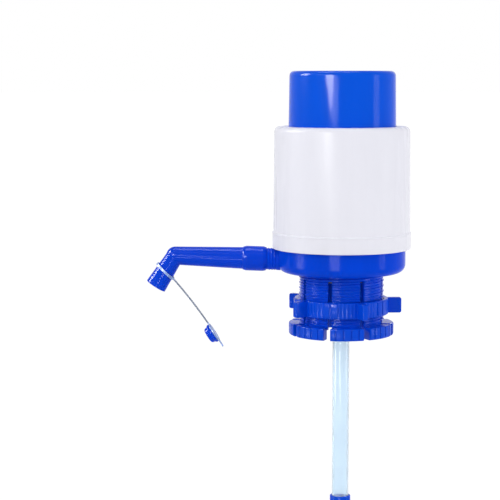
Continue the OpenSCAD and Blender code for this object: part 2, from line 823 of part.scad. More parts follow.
// The lock ring: a nut with wings to turn it by, and a grooved pad between each two wings
module lock_ring() {
    root_r = ring_bore_r + ring_wall / 2;
    pad_turn = wing_turn + 180 / wing_count;
    color(deep_blue)
        translate([0, 0, ring_top_z - ring_h])
            difference() {
                union() {
                    rotate_extrude()
                        polygon([
                            [ring_bore_r + ring_chamfer, 0], [ring_r - ring_chamfer, 0],
                            [ring_r, ring_chamfer], [ring_r, ring_h - ring_chamfer],
                            [ring_r - ring_chamfer, ring_h], [ring_bore_r + ring_chamfer, ring_h],
                            [ring_bore_r, ring_h - ring_chamfer], [ring_bore_r, ring_chamfer]
                        ]);
                    ring_of(wing_count, wing_turn)
                        translate([root_r, wing_t / 2, 0])
                            rotate([90, 0, 0])
                                linear_extrude(wing_t)
                                    wing_outline();
                    ring_of(wing_count, pad_turn - pad_angle / 2)
                        rotate_extrude(angle = pad_angle)
                            translate([root_r, pad_inset])
                                square([ring_r + pad_out - root_r, ring_h - 2 * pad_inset]);
                }
                ring_of(wing_count, pad_turn)
                    translate([ring_r + pad_out - pad_groove, -pad_groove / 2, -eps])
                        cube([pad_groove + 1, pad_groove, ring_h + 2 * eps]);
            }
}

// The spout: a socket sleeve, a tapering arm, an elbow and a nozzle leg that widens to its mouth
module spout() {
    neck_s = socket_floor_s + 1.5;
    color(royal_blue)
        difference() {
            union() {
                on_spout() {
                    translate([0, 0, stub_show])
                        cylinder(r1 = sleeve_lip_r, r2 = sleeve_r, h = sleeve_chamfer);
                    translate([0, 0, stub_show + sleeve_chamfer])
                        cylinder(r = sleeve_r, h = sleeve_len - 2 * sleeve_chamfer);
                    translate([0, 0, sleeve_end_s - sleeve_chamfer])
                        cylinder(r1 = sleeve_r, r2 = arm_r + 0.5, h = sleeve_chamfer);
                    translate([0, 0, sleeve_end_s])
                        cylinder(r1 = arm_r, r2 = arm_end_r, h = elbow_s - sleeve_end_s);
                    translate([0, 0, elbow_s])
                        sphere(r = arm_end_r);
                }
                on_leg()
                    cylinder(r1 = leg_r, r2 = leg_mouth_r, h = leg_len);
            }
            on_spout() {
                translate([0, 0, stub_show - eps])
                    cylinder(r = socket_r, h = socket_floor_s - stub_show + eps);
                translate([0, 0, socket_floor_s - eps])
                    cylinder(r = arm_r - arm_wall - 0.6, h = neck_s - socket_floor_s + 2 * eps);
                translate([0, 0, neck_s])
                    cylinder(r1 = arm_r - arm_wall - 0.6, r2 = throat_r, h = elbow_s - neck_s);
                translate([0, 0, elbow_s])
                    sphere(r = throat_r);
            }
            on_leg() {
                cylinder(r1 = throat_r, r2 = mouth_r - 0.9, h = leg_len - mouth_len + eps);
                translate([0, 0, leg_len - mouth_len])
                    cylinder(r = mouth_r, h = mouth_len + eps);
            }
        }
}

// The flat seal between the stub's end and the floor of the sleeve
module spout_seal() {
    color(rubber_grey)
        on_spout()
            tube(stub_r - soft_gap, channel_r + 0.5, stub_len + seat_gap, seal_t);
}

// The strap: a loop round the nozzle leg, a bent band, the eye for the cap and a pull tab
module cap_strap() {
    bend = strap_angles[1] - strap_angles[0];
    color(clear_plastic)
        difference() {
            union() {
                on_leg()
                    translate([0, 0, loop_s])
                        rotate([0, loop_tilt, 0])
                            tube(loop_r, loop_bore_r, -loop_h / 2, loop_h);
                translate([strap_centre[0], strap_w / 2, strap_centre[1]])
                    rotate([90, 0, 0])
                        rotate([0, 0, 90 - strap_angles[1]])
                            rotate_extrude(angle = bend, $fn = 720)
                                translate([strap_arc_r - strap_t / 2, 0])
                                    square([strap_t, strap_w]);
                on_strap(cap_angle)
                    translate([0, 0, -eye_t / 2])
                        cylinder(r = eye_r, h = eye_t);
            }
            on_strap(cap_angle)
                translate([0, 0, -eye_t])
                    cylinder(r = rivet_r + tube_play, h = 2 * eye_t);
        }
}

// The cap: a plug for the nozzle's mouth, with a rim and a rivet that holds it in the strap's eye
module spout_cap() {
    top = eye_t / 2 + seat_gap;
    color(royal_blue)
        on_strap(cap_angle)
            rotate_extrude()
                polygon(concat(
                    [[0, eye_t / 2], [rivet_r, eye_t / 2], [rivet_r, -top], [cap_rim_r, -top],
                        [cap_rim_r, -top - cap_rim_h], [plug_r, -top - cap_rim_h]],
                    arc([plug_tip_r - cap_round, -top - cap_h + cap_round], cap_round, 0, -90, 5),
                    [[0, -top - cap_h]]
                ));
}

module upper_dip_tube() {
    color(clear_plastic)
        tube(tube_r, tube_bore_r, upper_end_z, tube_lengths[0]);
}

module middle_dip_tube() {
    color(clear_plastic)
        tube(tube_r, tube_bore_r, middle_end_z, tube_lengths[1]);
}

// The lowest tube, with notches in its foot so that water gets in where it stands on the bottom
module lower_dip_tube() {
    color(clear_plastic)
        difference() {
            tube(tube_r, tube_bore_r, lower_end_z, tube_lengths[2]);
            for (turn = [0, 90])
                rotate([0, 0, turn])
                    translate([-tube_r - 1, -notch_w / 2, lower_end_z - eps])
                        cube([2 * tube_r + 2, notch_w, notch_h]);
        }
}

// A coupler: a sleeve with a stop rib halfway, where the tube above it ends at end_z
module tube_coupler(end_z) {
    rib_top_z = end_z - seat_gap;
    difference() {
        translate([0, 0, rib_top_z - coupler_stop / 2 - coupler_len / 2])
            cylinder(r = tube_r + tube_play + coupler_wall, h = coupler_len);
        translate([0, 0, rib_top_z])
            cylinder(r = tube_r + tube_play, h = coupler_len);
        translate([0, 0, rib_top_z - coupler_stop - coupler_len])
            cylinder(r = tube_r + tube_play, h = coupler_len);
        translate([0, 0, rib_top_z - coupler_len])
            cylinder(r = tube_bore_r, h = 2 * coupler_len);
    }
}

module upper_tube_coupler() {
    color(deep_blue)
        tube_coupler(upper_end_z);
}

module lower_tube_coupler() {
    color(deep_blue)
        tube_coupler(middle_end_z);
}

push_button();
white_housing();
base_bowl();
pump_plate();
bellows();
bellows_clamp_ring();
clamp_ring_screws();
bellows_top_plate();
top_plate_screws();
return_spring();
intake_valve();
delivery_valve();
split_collar();
collar_screws();
mouth_gasket();
lock_ring();
spout();
spout_seal();
cap_strap();
spout_cap();
upper_dip_tube();
upper_tube_coupler();
middle_dip_tube();
lower_tube_coupler();
lower_dip_tube();
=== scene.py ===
# Hand pump for a large water bottle: its visible pieces, finishes, light and camera.
# Everything is in metres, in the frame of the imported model. Outlines are given in millimetres.
import json
from math import cos, pi, radians, sin, tan

import bmesh
import bpy
from mathutils import Matrix, Vector


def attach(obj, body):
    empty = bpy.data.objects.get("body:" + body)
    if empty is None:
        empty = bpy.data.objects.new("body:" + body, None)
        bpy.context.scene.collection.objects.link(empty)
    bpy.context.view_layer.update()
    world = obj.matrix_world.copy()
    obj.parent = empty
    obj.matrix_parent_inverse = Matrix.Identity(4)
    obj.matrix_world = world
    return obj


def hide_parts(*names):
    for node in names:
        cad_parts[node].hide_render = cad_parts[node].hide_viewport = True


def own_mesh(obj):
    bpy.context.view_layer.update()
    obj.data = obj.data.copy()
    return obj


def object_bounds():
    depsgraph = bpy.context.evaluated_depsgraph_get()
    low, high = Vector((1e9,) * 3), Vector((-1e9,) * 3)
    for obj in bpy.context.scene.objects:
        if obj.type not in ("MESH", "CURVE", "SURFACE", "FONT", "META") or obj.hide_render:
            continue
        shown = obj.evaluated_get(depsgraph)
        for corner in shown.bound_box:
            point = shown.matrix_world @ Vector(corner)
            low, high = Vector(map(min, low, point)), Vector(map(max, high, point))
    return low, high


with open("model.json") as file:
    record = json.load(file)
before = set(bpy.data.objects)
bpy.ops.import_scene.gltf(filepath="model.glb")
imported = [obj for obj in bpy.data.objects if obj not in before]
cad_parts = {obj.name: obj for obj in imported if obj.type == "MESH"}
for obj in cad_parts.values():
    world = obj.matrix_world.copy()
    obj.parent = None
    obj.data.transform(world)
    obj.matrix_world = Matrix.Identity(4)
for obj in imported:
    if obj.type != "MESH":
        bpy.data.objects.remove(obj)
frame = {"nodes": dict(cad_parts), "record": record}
cadLow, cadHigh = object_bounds()
mm = 0.001


# handling of objects and selections

def pick(obj):
    if bpy.context.object and bpy.context.object.mode != "OBJECT":
        bpy.ops.object.mode_set(mode="OBJECT")
    bpy.ops.object.select_all(action="DESELECT")
    obj.select_set(True)
    bpy.context.view_layer.objects.active = obj


def editMesh(obj):
    pick(obj)
    bpy.ops.object.mode_set(mode="EDIT")
    bpy.ops.mesh.select_mode(type="VERT")
    bpy.ops.mesh.select_all(action="SELECT")


def leaveEdit():
    bpy.ops.object.mode_set(mode="OBJECT")


def selectWhere(obj, kind, test):
    # in edit mode: selects the faces, edges or vertices that pass the test
    bpy.ops.mesh.select_mode(type=kind)
    bpy.ops.mesh.select_all(action="DESELECT")
    mesh = bmesh.from_edit_mesh(obj.data)
    items = {"FACE": mesh.faces, "EDGE": mesh.edges, "VERT": mesh.verts}[kind]
    for item in items:
        if test(item):
            item.select = True
    mesh.select_flush_mode()
    bmesh.update_edit_mesh(obj.data)


def tidyMesh(obj):
    # merges doubles and turns all faces outwards
    editMesh(obj)
    bpy.ops.mesh.remove_doubles(threshold=0.001 * mm)
    bpy.ops.mesh.normals_make_consistent(inside=False)
    leaveEdit()


def joined(first, others):
    pick(first)
    for other in others:
        other.select_set(True)
    bpy.ops.object.join()
    return first


def applied(obj, kind, **settings):
    # adds a modifier with these settings and applies it
    pick(obj)
    bpy.ops.object.modifier_add(type=kind)
    modifier = obj.modifiers[-1]
    for key, value in settings.items():
        setattr(modifier, key, value)
    bpy.ops.object.modifier_apply(modifier=modifier.name)
    return obj


def added(obj, tool):
    applied(obj, "BOOLEAN", operation="UNION", solver="EXACT", object=tool)
    bpy.data.objects.remove(tool)
    return obj


def cutAway(obj, tool):
    applied(obj, "BOOLEAN", operation="DIFFERENCE", solver="EXACT", object=tool)
    bpy.data.objects.remove(tool)
    return obj


def placed(obj, matrix):
    # moves a piece and leaves its object at the origin, with its place in its mesh
    obj.matrix_world = matrix
    pick(obj)
    bpy.ops.object.transform_apply(location=True, rotation=True, scale=True)
    return obj


def ringOf(obj, count, turn=0.0):
    # the piece and its copies, evenly round the pump's axis, as one object
    copies = []
    for i in range(1, count):
        pick(obj)
        bpy.ops.object.duplicate(linked=False)
        angle = radians(turn) + 2 * pi * i / count
        copies.append(placed(bpy.context.object, Matrix.Rotation(angle, 4, "Z")))
    placed(obj, Matrix.Rotation(radians(turn), 4, "Z"))
    return joined(obj, copies) if copies else obj


# shapes

def softCorners(corners, steps=5):
    # each corner is (radius, height) or (radius, height, fillet), in millimetres
    points = []
    for i, corner in enumerate(corners):
        here = Vector(corner[:2])
        fillet = corner[2] if len(corner) > 2 else 0
        if not fillet:
            points.append(here)
            continue
        back = (Vector(corners[i - 1][:2]) - here).normalized()
        ahead = (Vector(corners[(i + 1) % len(corners)][:2]) - here).normalized()
        half = back.angle(ahead) / 2
        if half > radians(89):
            points.append(here)
            continue
        centre = here + (back + ahead).normalized() * fillet / sin(half)
        start = here + back * fillet / tan(half) - centre
        end = here + ahead * fillet / tan(half) - centre
        sweep = start.angle(end) * (1 if start.cross(end) > 0 else -1)
        for k in range(steps + 1):
            points.append(centre + Matrix.Rotation(sweep * k / steps, 2) @ start)
    return points


def drawOutline(name, points, closed):
    # one vertex, extruded from point to point; the points have three coordinates in millimetres
    bpy.ops.object.select_all(action="DESELECT")
    bpy.ops.mesh.primitive_plane_add(size=mm)
    obj = bpy.context.object
    obj.name = name
    editMesh(obj)
    bpy.ops.mesh.merge(type="CENTER")
    bpy.ops.transform.translate(value=Vector(points[0]) * mm)
    for last, here in zip(points, points[1:]):
        step = (Vector(here) - Vector(last)) * mm
        bpy.ops.mesh.extrude_region_move(TRANSFORM_OT_translate={"value": step})
    if closed:
        ends = [Vector(points[0]) * mm, Vector(points[-1]) * mm]
        selectWhere(obj, "VERT", lambda v: min((v.co - end).length for end in ends) < 0.01 * mm)
        bpy.ops.mesh.edge_face_add()
    bpy.ops.mesh.select_all(action="SELECT")
    return obj


def turned(name, corners, steps, closed=True, fillets=5, start=0.0, sweep=360.0):
    # a turned shape round Z; an outline that isn't closed begins and ends on the axis
    obj = drawOutline(name, [(r, 0, z) for r, z in softCorners(corners, fillets)], closed)
    bpy.ops.mesh.spin(steps=steps, angle=-radians(sweep), center=(0, 0, 0), axis=(0, 0, 1))
    if sweep < 360:
        bpy.ops.mesh.select_all(action="SELECT")
        bpy.ops.mesh.fill_holes(sides=0)
    leaveEdit()
    tidyMesh(obj)
    if start:
        placed(obj, Matrix.Rotation(radians(start), 4, "Z"))
    return obj


def rod(name, radius, low, high, steps):
    # a plain cylinder on Z, with both ends closed
    return turned(name, [(0, low), (radius, low), (radius, high), (0, high)], steps, closed=False)


def block(name, low, high):
    # a box between two corners, in millimetres
    low, high = Vector(low) * mm, Vector(high) * mm
    bpy.ops.object.select_all(action="DESELECT")
    bpy.ops.mesh.primitive_cube_add(size=1, location=(low + high) / 2, scale=high - low)
    obj = bpy.context.object
    obj.name = name
    bpy.ops.object.transform_apply(location=True, rotation=True, scale=True)
    return obj


# finishes

def newMaterial(name):
    # gives the material, its nodes, links and shader, and the object's own coordinates
    material = bpy.data.materials.new(name)
    material.use_nodes = True
    nodes = material.node_tree.nodes
    shader = nodes["Principled BSDF"]
    where = nodes.new("ShaderNodeTexCoord").outputs["Object"]
    return material, nodes, material.node_tree.links, shader, where


def noise(nodes, links, where, scale, detail=3.0, stretch=(1, 1, 1)):
    # scale is in features per metre
    mapping = nodes.new("ShaderNodeMapping")
    mapping.inputs["Scale"].default_value = stretch
    texture = nodes.new("ShaderNodeTexNoise")
    texture.inputs["Scale"].default_value = scale
    texture.inputs["Detail"].default_value = detail
    links.new(where, mapping.inputs["Vector"])
    links.new(mapping.outputs["Vector"], texture.inputs["Vector"])
    return texture.outputs["Fac"]


def spread(nodes, links, value, low, high):
    # carries a noise value over to the range low to high
    reach = nodes.new("ShaderNodeMapRange")
    reach.inputs["From Min"].default_value = 0.3
    reach.inputs["From Max"].default_value = 0.7
    reach.inputs["To Min"].default_value = low
    reach.inputs["To Max"].default_value = high
    links.new(value, reach.inputs["Value"])
    return reach.outputs["Result"]


def tinted(nodes, links, value, dark, light):
    # a colour between dark and light
    mix = nodes.new("ShaderNodeMix")
    mix.data_type = "RGBA"
    mix.inputs["A"].default_value = (*dark, 1)
    mix.inputs["B"].default_value = (*light, 1)
    links.new(value, mix.inputs["Factor"])
    return mix.outputs["Result"]


def bumped(nodes, links, shader, height, distance, strength=1.0, under=None):
    # a bump of this depth in millimetres, on top of another one if there is one
    bump = nodes.new("ShaderNodeBump")
    bump.inputs["Distance"].default_value = distance * mm
    bump.inputs["Strength"].default_value = strength
    links.new(height, bump.inputs["Height"])
    if under:
        links.new(under, bump.inputs["Normal"])
    links.new(bump.outputs["Normal"], shader.inputs["Normal"])
    return bump.outputs["Normal"]


def mouldedPlastic(name, colour, roughness, specular, cloud=0.06):
    # injection-moulded plastic: flow clouds in the colour, rub marks in the gloss, a fine skin
    material, nodes, links, shader, where = newMaterial(name)
    flow = noise(nodes, links, where, scale=45, detail=4, stretch=(1, 1, 0.35))
    clouds = spread(nodes, links, flow, low=0, high=1)
    dark = [c * (1 - cloud) for c in colour]
    light = [min(1, c * (1 + cloud)) for c in colour]
    links.new(tinted(nodes, links, clouds, dark, light), shader.inputs["Base Color"])
    rubs = noise(nodes, links, where, scale=160, detail=5, stretch=(1, 1, 0.12))
    gloss = spread(nodes, links, rubs, low=roughness * 0.8, high=roughness * 1.35)
    links.new(gloss, shader.inputs["Roughness"])
    grain = noise(nodes, links, where, scale=2400, detail=2)
    skin = bumped(nodes, links, shader, grain, distance=0.002)
    waves = noise(nodes, links, where, scale=90, detail=2)
    bumped(nodes, links, shader, waves, distance=0.007, strength=0.5, under=skin)
    shader.inputs["Specular IOR Level"].default_value = specular
    return material


def seeThrough(name, roughness, transmission):
    # milky plastic without a colour yet, with drawn marks along its length
    material, nodes, links, shader, where = newMaterial(name)
    drawn = noise(nodes, links, where, scale=500, detail=3, stretch=(1, 1, 0.05))
    gloss = spread(nodes, links, drawn, low=roughness * 0.7, high=roughness * 1.4)
    links.new(gloss, shader.inputs["Roughness"])
    bumped(nodes, links, shader, drawn, distance=0.01, strength=0.6)
    shader.inputs["Transmission Weight"].default_value = transmission
    shader.inputs["IOR"].default_value = 1.46
    return material, nodes, links, shader, where


def clearPlastic(name, colour, roughness, transmission):
    # see-through plastic with a faint haze
    material, nodes, links, shader, where = seeThrough(name, roughness, transmission)
    cloud = noise(nodes, links, where, scale=70, detail=4, stretch=(1, 1, 0.3))
    haze = spread(nodes, links, cloud, low=0, high=1)
    pale = [min(1, c * 1.04) for c in colour]
    links.new(tinted(nodes, links, haze, colour, pale), shader.inputs["Base Color"])
    return material


def strapPlastic(name, pale, deep, heights, bandShare=(0.04, 0.94)):
    # the strap's plastic: painted shade along its band, which takes this share of the heights, for the
    # darker look of the band seen edge on through the clear plastic, else its own pale colour
    material, nodes, links, shader, where = seeThrough(name, roughness=0.32, transmission=0.2)
    apart = nodes.new("ShaderNodeSeparateXYZ")
    links.new(where, apart.inputs["Vector"])
    reach = nodes.new("ShaderNodeMapRange")
    reach.inputs["From Min"].default_value = heights[0]
    reach.inputs["From Max"].default_value = heights[1]
    links.new(apart.outputs["Z"], reach.inputs["Value"])
    ramp = nodes.new("ShaderNodeValToRGB")
    links.new(reach.outputs["Result"], ramp.inputs["Fac"])
    stops = ramp.color_ramp.elements
    stops[0].position = 0.0
    stops[0].color = (*pale, 1)
    stops[1].position = 1.0
    stops[1].color = (*pale, 1)
    # the stops at the band's share carry the painted shade
    for at in bandShare:
        stops.new(at).color = (*deep, 1)
    haze = nodes.new("ShaderNodeMix")
    haze.data_type = "RGBA"
    haze.blend_type = "MULTIPLY"
    haze.inputs["Factor"].default_value = 0.3
    links.new(ramp.outputs["Color"], haze.inputs["A"])
    cloud = noise(nodes, links, where, scale=120, detail=3)
    links.new(spread(nodes, links, cloud, low=0.75, high=1), haze.inputs["B"])
    links.new(haze.outputs["Result"], shader.inputs["Base Color"])
    return material


def softRubber(name, colour, roughness=0.6):
    # dull rubber or silicone with specks of dust
    material, nodes, links, shader, where = newMaterial(name)
    dust = spread(nodes, links, noise(nodes, links, where, scale=220, detail=6), low=0, high=1)
    pale = [c * 1.35 + 0.01 for c in colour]
    links.new(tinted(nodes, links, dust, colour, pale), shader.inputs["Base Color"])
    rubs = noise(nodes, links, where, scale=80, detail=4)
    gloss = spread(nodes, links, rubs, low=roughness * 0.85, high=roughness * 1.15)
    links.new(gloss, shader.inputs["Roughness"])
    bumped(nodes, links, shader, noise(nodes, links, where, scale=1600, detail=4), distance=0.02)
    shader.inputs["Specular IOR Level"].default_value = 0.35
    return material


def plainSteel(name, colour, roughness=0.28):
    # bare steel with fine marks from drawing
    material, nodes, links, shader, where = newMaterial(name)
    drawn = noise(nodes, links, where, scale=900, detail=4, stretch=(1, 1, 0.2))
    dull = [c * 0.82 for c in colour]
    marks = spread(nodes, links, drawn, low=0, high=1)
    links.new(tinted(nodes, links, marks, dull, colour), shader.inputs["Base Color"])
    gloss = spread(nodes, links, drawn, low=roughness * 0.75, high=roughness * 1.4)
    links.new(gloss, shader.inputs["Roughness"])
    bumped(nodes, links, shader, drawn, distance=0.006)
    shader.inputs["Metallic"].default_value = 1
    return material


# per slot: name, colour, roughness, then specular level and cloudiness or transmission
finishes = {
    "button_blue": mouldedPlastic("buttonBlue", (0.0003, 0.087, 0.72), 0.12, 0.06, 0.04),
    "bowl_blue": mouldedPlastic("bowlBlue", (0.0003, 0.054, 0.66), 0.14, 0.035, 0.05),
    "spout_blue": mouldedPlastic("spoutBlue", (0.0003, 0.05, 0.65), 0.11, 0.06, 0.05),
    "collar_blue": mouldedPlastic("collarBlue", (0.0003, 0.064, 0.66), 0.13, 0.08, 0.07),
    "inner_blue": mouldedPlastic("innerBlue", (0.01, 0.05, 0.4), 0.35, 0.3),
    "housing_white": mouldedPlastic("housingWhite", (0.81, 0.81, 0.885), 0.26, 0.06, 0.01),
    "clear_plastic": clearPlastic("clearPlastic", (0.78, 0.88, 0.96), 0.16, 0.85),
    "grey_rubber": softRubber("greyRubber", (0.05, 0.05, 0.055)),
    "pale_silicone": softRubber("paleSilicone", (0.7, 0.7, 0.66), 0.45),
    "screw_steel": plainSteel("screwSteel", (0.6, 0.61, 0.63)),
    "spring_steel": plainSteel("springSteel", (0.55, 0.56, 0.58), 0.22),
}
print("finishes made")


def finished(obj, body, slot, *nodes, finish=None, angle=35):
    # smooth shading, material and the piece's place in the model
    obj.data.materials.clear()
    obj.data.materials.append(finish or finishes[slot])
    pick(obj)
    bpy.ops.object.shade_smooth_by_angle(angle=radians(angle))
    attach(obj, body)
    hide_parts(*nodes)


# the pieces that stay as the model has them get their finish here
for part in frame["record"]["subparts"]:
    node = frame["nodes"][part["node"]]
    node.data.materials.clear()
    node.data.materials.append(finishes[part["material_slot"]])

# button

button = {
    "outline": [
        (0, 153.1), (31.7, 153.1, 1.6), (33.4, 153.9, 1.2), (39, 153.9, 3.6), (39.6, 113.3),
        (39.6, 87.2, 0.3), (43.6, 87.2, 0.4), (43.6, 84.6, 0.4), (37.6, 84.6, 0.3), (37.6, 113.3),
        (37, 150.7, 1), (26.3, 150.7, 0.2), (26.3, 148.2, 0.2), (19.8, 148.2, 0.2), (19.8, 150.7, 0.2),
        (0, 150.7),
    ],
    "steps": 160,
}
obj = turned("pushButtonShell", button["outline"], button["steps"], closed=False, fillets=8)
finished(obj, "button", "button_blue", "push_button")
print("button made")

# housing

housing = {
    "outline": [
        (47.7, 27.9, 0.2), (49.1, 26.4), (49.1, 23.3, 0.3), (51.2, 23.3, 0.8), (51.15, 34.2, 0.6),
        (51.4, 34.6, 0.2), (51.4, 35.3, 0.35), (50.6, 35.9, 0.25), (50, 113.3, 3.8),
        (39.95, 113.3, 0.7), (39.95, 87.3, 0.3), (41.55, 87.3, 0.3), (41.55, 111, 0.6),
        (47.7, 111, 1.9), (47.7, 34.8, 0.2), (49.1, 34.8, 0.2), (49.1, 29.4, 0.2), (47.7, 29.4, 0.2),
    ],
    "steps": 180,
}
obj = turned("housingShell", housing["outline"], housing["steps"], fillets=7)
finished(obj, "pump", "housing_white", "white_housing")
print("housing made")

# spout's frame: +Z runs out along the arm from the bowl's wall, then down the nozzle leg

spoutWay = {"wall": (-47.4, 14.9), "rise": 2.0, "drop": 57.3, "elbow": 76.0}
armFrame = (Matrix.Translation(Vector((spoutWay["wall"][0], 0, spoutWay["wall"][1])) * mm)
            @ Matrix.Rotation(radians(spoutWay["rise"] - 90), 4, "Y"))
legFrame = (armFrame @ Matrix.Translation((0, 0, spoutWay["elbow"] * mm))
            @ Matrix.Rotation(-radians(spoutWay["rise"] + spoutWay["drop"]), 4, "Y"))

# bowl

bowl = {
    "outline": [
        (0, 14.9), (3.75, 14.9), (3.75, -25.9, 0.3), (5.25, -25.9, 0.5), (5.25, -1.9, 0.3),
        (6.4, -1.9, 0.3), (6.4, 5.5, 0.5), (47.4, 5.5, 6.5), (47.4, 29.7, 0.2), (48.8, 29.9, 0.2),
        (48.8, 31.3, 0.2), (47.4, 32.9, 0.2), (48.3, 33.9, 0.2), (48.3, 34.5, 0.2), (45.2, 34.5, 0.3),
        (45.2, 27, 0.2), (43, 27, 0.2), (43, 24.6, 0.2), (45.2, 22.2), (45.2, 8, 4.3), (6.4, 8, 0.6),
        (6.4, 20.9, 0.4), (0, 20.9),
    ],
    "stub": [
        (0, -6.5), (8.2, -6.5), (8.2, 0.3, 0.2), (7.9, 0.9, 0.2), (7.9, 22, 0.5), (0, 22),
    ],
    "stubThread": {"from": 1.8, "to": 7.4, "pitch": 2.0, "crest": 8.25, "root": 7.85},
    "steps": 180, "stubSteps": 72,
    # the pipe from the middle to the stub, and the water's way through both
    "pipe": {"radius": 6.0, "low": -45.9, "high": -1.0, "steps": 64},
    "channel": {"radius": 4.0, "low": -49.1, "high": 23.0, "steps": 64},
    # posts for screws; the outer ones are drilled from the top
    "posts": [
        {"from": 39.5, "radius": 3.6, "low": 7.5, "high": 27.0, "drilled": True},
        {"from": 20.0, "radius": 3.6, "low": 7.5, "high": 16.0, "drilled": False},
    ],
    "postCount": 4, "postTurn": 45, "postRound": 0.3, "postSteps": 40,
    "drill": {"radius": 1.45, "depth": 7.0, "above": 1.0, "steps": 24},
    "ports": {"from": 8.6, "radius": 1.5, "low": 4.0, "high": 9.0, "steps": 32, "count": 3, "turn": -60},
}


def threadedRod(name, crests, root, pitch, low, high, steps, first=0.0):
    # a closed rod with a right-hand thread between two heights; each start has its own crest radius
    flanks = (0.18, 0.4, 0.6, 0.82)
    lead = pitch * len(crests)
    turns = int((high - low) / lead) + 4
    bottom = low - 2 * lead + first
    points = []
    for i in range(turns * len(crests)):
        crest = crests[i % len(crests)]
        for share, r in zip(flanks, (root, crest, crest, root)):
            points.append((r, 0, bottom + (i + share) * pitch))
    points.append((root, 0, bottom + (turns * len(crests) + flanks[0]) * pitch))
    obj = drawOutline(name, points, closed=False)
    leaveEdit()
    applied(obj, "SCREW", axis="Z", angle=2 * pi, screw_offset=lead * mm, steps=steps,
            render_steps=steps, iterations=1, use_merge_vertices=True, merge_threshold=0.001 * mm,
            use_smooth_shade=True)
    editMesh(obj)
    bpy.ops.mesh.remove_doubles(threshold=0.001 * mm)
    for height, side in ((high, 1), (low, -1)):
        bpy.ops.mesh.select_all(action="SELECT")
        bpy.ops.mesh.bisect(plane_co=(0, 0, height * mm), plane_no=(0, 0, side), use_fill=True,
                            clear_outer=True)
    bpy.ops.mesh.select_all(action="SELECT")
    bpy.ops.mesh.normals_make_consistent(inside=False)
    leaveEdit()
    return obj


def rodOf(name, spec):
    return rod(name, spec["radius"], spec["low"], spec["high"], spec["steps"])


obj = turned("baseBowlShell", bowl["outline"], bowl["steps"], closed=False, fillets=7)
stub = turned("stub", bowl["stub"], bowl["stubSteps"], closed=False)
cord = bowl["stubThread"]
added(stub, threadedRod("stubThread", (cord["crest"],), cord["root"], cord["pitch"], cord["from"],
                        cord["to"], bowl["stubSteps"]))
added(obj, placed(stub, armFrame))
tidyMesh(obj)
added(obj, placed(rodOf("pipe", bowl["pipe"]), armFrame))
tools = [placed(rodOf("channel", bowl["channel"]), armFrame)]
posts = []
drill = bowl["drill"]
for spec in bowl["posts"]:
    away = Matrix.Translation((spec["from"] * mm, 0, 0))
    low, high, radius = spec["low"], spec["high"], spec["radius"]
    outline = [(0, low), (radius, low), (radius, high, bowl["postRound"]), (0, high)]
    post = turned("post", outline, bowl["postSteps"], closed=False)
    posts.append(ringOf(placed(post, away), bowl["postCount"], bowl["postTurn"]))
    if spec["drilled"]:
        pilot = rod("pilot", drill["radius"], high - drill["depth"], high + drill["above"],
                    drill["steps"])
        tools.append(ringOf(placed(pilot, away), bowl["postCount"], bowl["postTurn"]))
for post in posts:
    added(obj, post)
ports = bowl["ports"]
port = placed(rodOf("port", ports), Matrix.Translation((ports["from"] * mm, 0, 0)))
tools.append(ringOf(port, ports["count"], ports["turn"]))
for tool in tools:
    cutAway(obj, tool)
tidyMesh(obj)
finished(obj, "pump", "bowl_blue", "base_bowl")
print("bowl made")

# spout

spout = {
    "arm": [
        (0, 8.4), (8.55, 8.4, 0.25), (9.2, 10.6, 1.2), (9.2, 23.3, 1), (8.6, 25.5, 0.3), (8.1, 26.0, 0.15),
    ],
    # radii of the balls that round the elbow outside and in its bore
    "elbowRadius": 6.8, "boreRadius": 4.9, "arcStep": 9, "steps": 96, "boreSteps": 72,
    "leg": [(0, 0), (6.4, 0), (7.9, 27, 0.3), (0, 27)],
    "socket": [
        (0, 8.3), (8.2, 8.3), (7.98, 8.9), (7.98, 24.2), (6, 24.2), (6, 25.7), (4.9, 76),
    ],
    "throat": [(0, 0), (4.9, 0), (5.4, 18), (6.3, 18), (6.3, 26.7), (6.7, 27.3), (0, 27.3)],
}


def ballEnd(radius, angles):
    # the end of an outline in the arm's frame: an arc round the elbow, then the top on the axis
    elbow = spoutWay["elbow"]
    arc = [(radius * cos(radians(a)), elbow + radius * sin(radians(a))) for a in angles]
    return arc + [(0, elbow + radius)]


step = spout["arcStep"]
outside = spout["arm"] + ballEnd(spout["elbowRadius"], range(0, 90, step))
obj = placed(turned("spoutPipe", outside, spout["steps"], closed=False), armFrame)
added(obj, placed(turned("leg", spout["leg"], spout["steps"], closed=False), legFrame))
inside = spout["socket"] + ballEnd(spout["boreRadius"], range(step, 90, step))
cutAway(obj, placed(turned("socket", inside, spout["boreSteps"], closed=False), armFrame))
cutAway(obj, placed(turned("throat", spout["throat"], spout["boreSteps"], closed=False), legFrame))
finished(obj, "spout", "spout_blue", "spout")
print("spout made")

# strap and cap

strap = {
    # the loop's place on the leg; the band's slope at its two ends, and the eye's place along it
    "loopAt": 13.7, "loopTilt": 11.5, "slope": (49.0, 59.0), "length": 63.0, "eyeAt": 50.7,
    "loop": [(7.75, -1, 0.25), (8.67, -1, 0.35), (8.67, 1, 0.35), (7.75, 1, 0.25)],
    "eye": [(2.55, -0.6, 0.1), (7.3, -0.6, 0.35), (7.3, 0.6, 0.35), (2.55, 0.6, 0.1)],
    "root": 7.95, "hole": {"radius": 2.55, "low": -3.0, "high": 3.0, "steps": 48},
    "width": 3.6, "thick": 0.9, "sections": 28, "loopSteps": 96, "eyeSteps": 72,
    # the band's darker colour is painted shade; the pale one is the plastic's own colour
    "pale": (0.32, 0.47, 0.85), "deep": (0.12, 0.17, 0.28), "paleAbove": 6.8,
}
first, last = (radians(a) for a in strap["slope"])
loopAt = legFrame @ Vector((0, 0, strap["loopAt"] * mm))
loopFrame = (Matrix.Translation(loopAt) @ legFrame.to_3x3().to_4x4()
             @ Matrix.Rotation(radians(strap["loopTilt"]), 4, "Y"))
lean = radians(90 - spoutWay["drop"] + strap["loopTilt"])
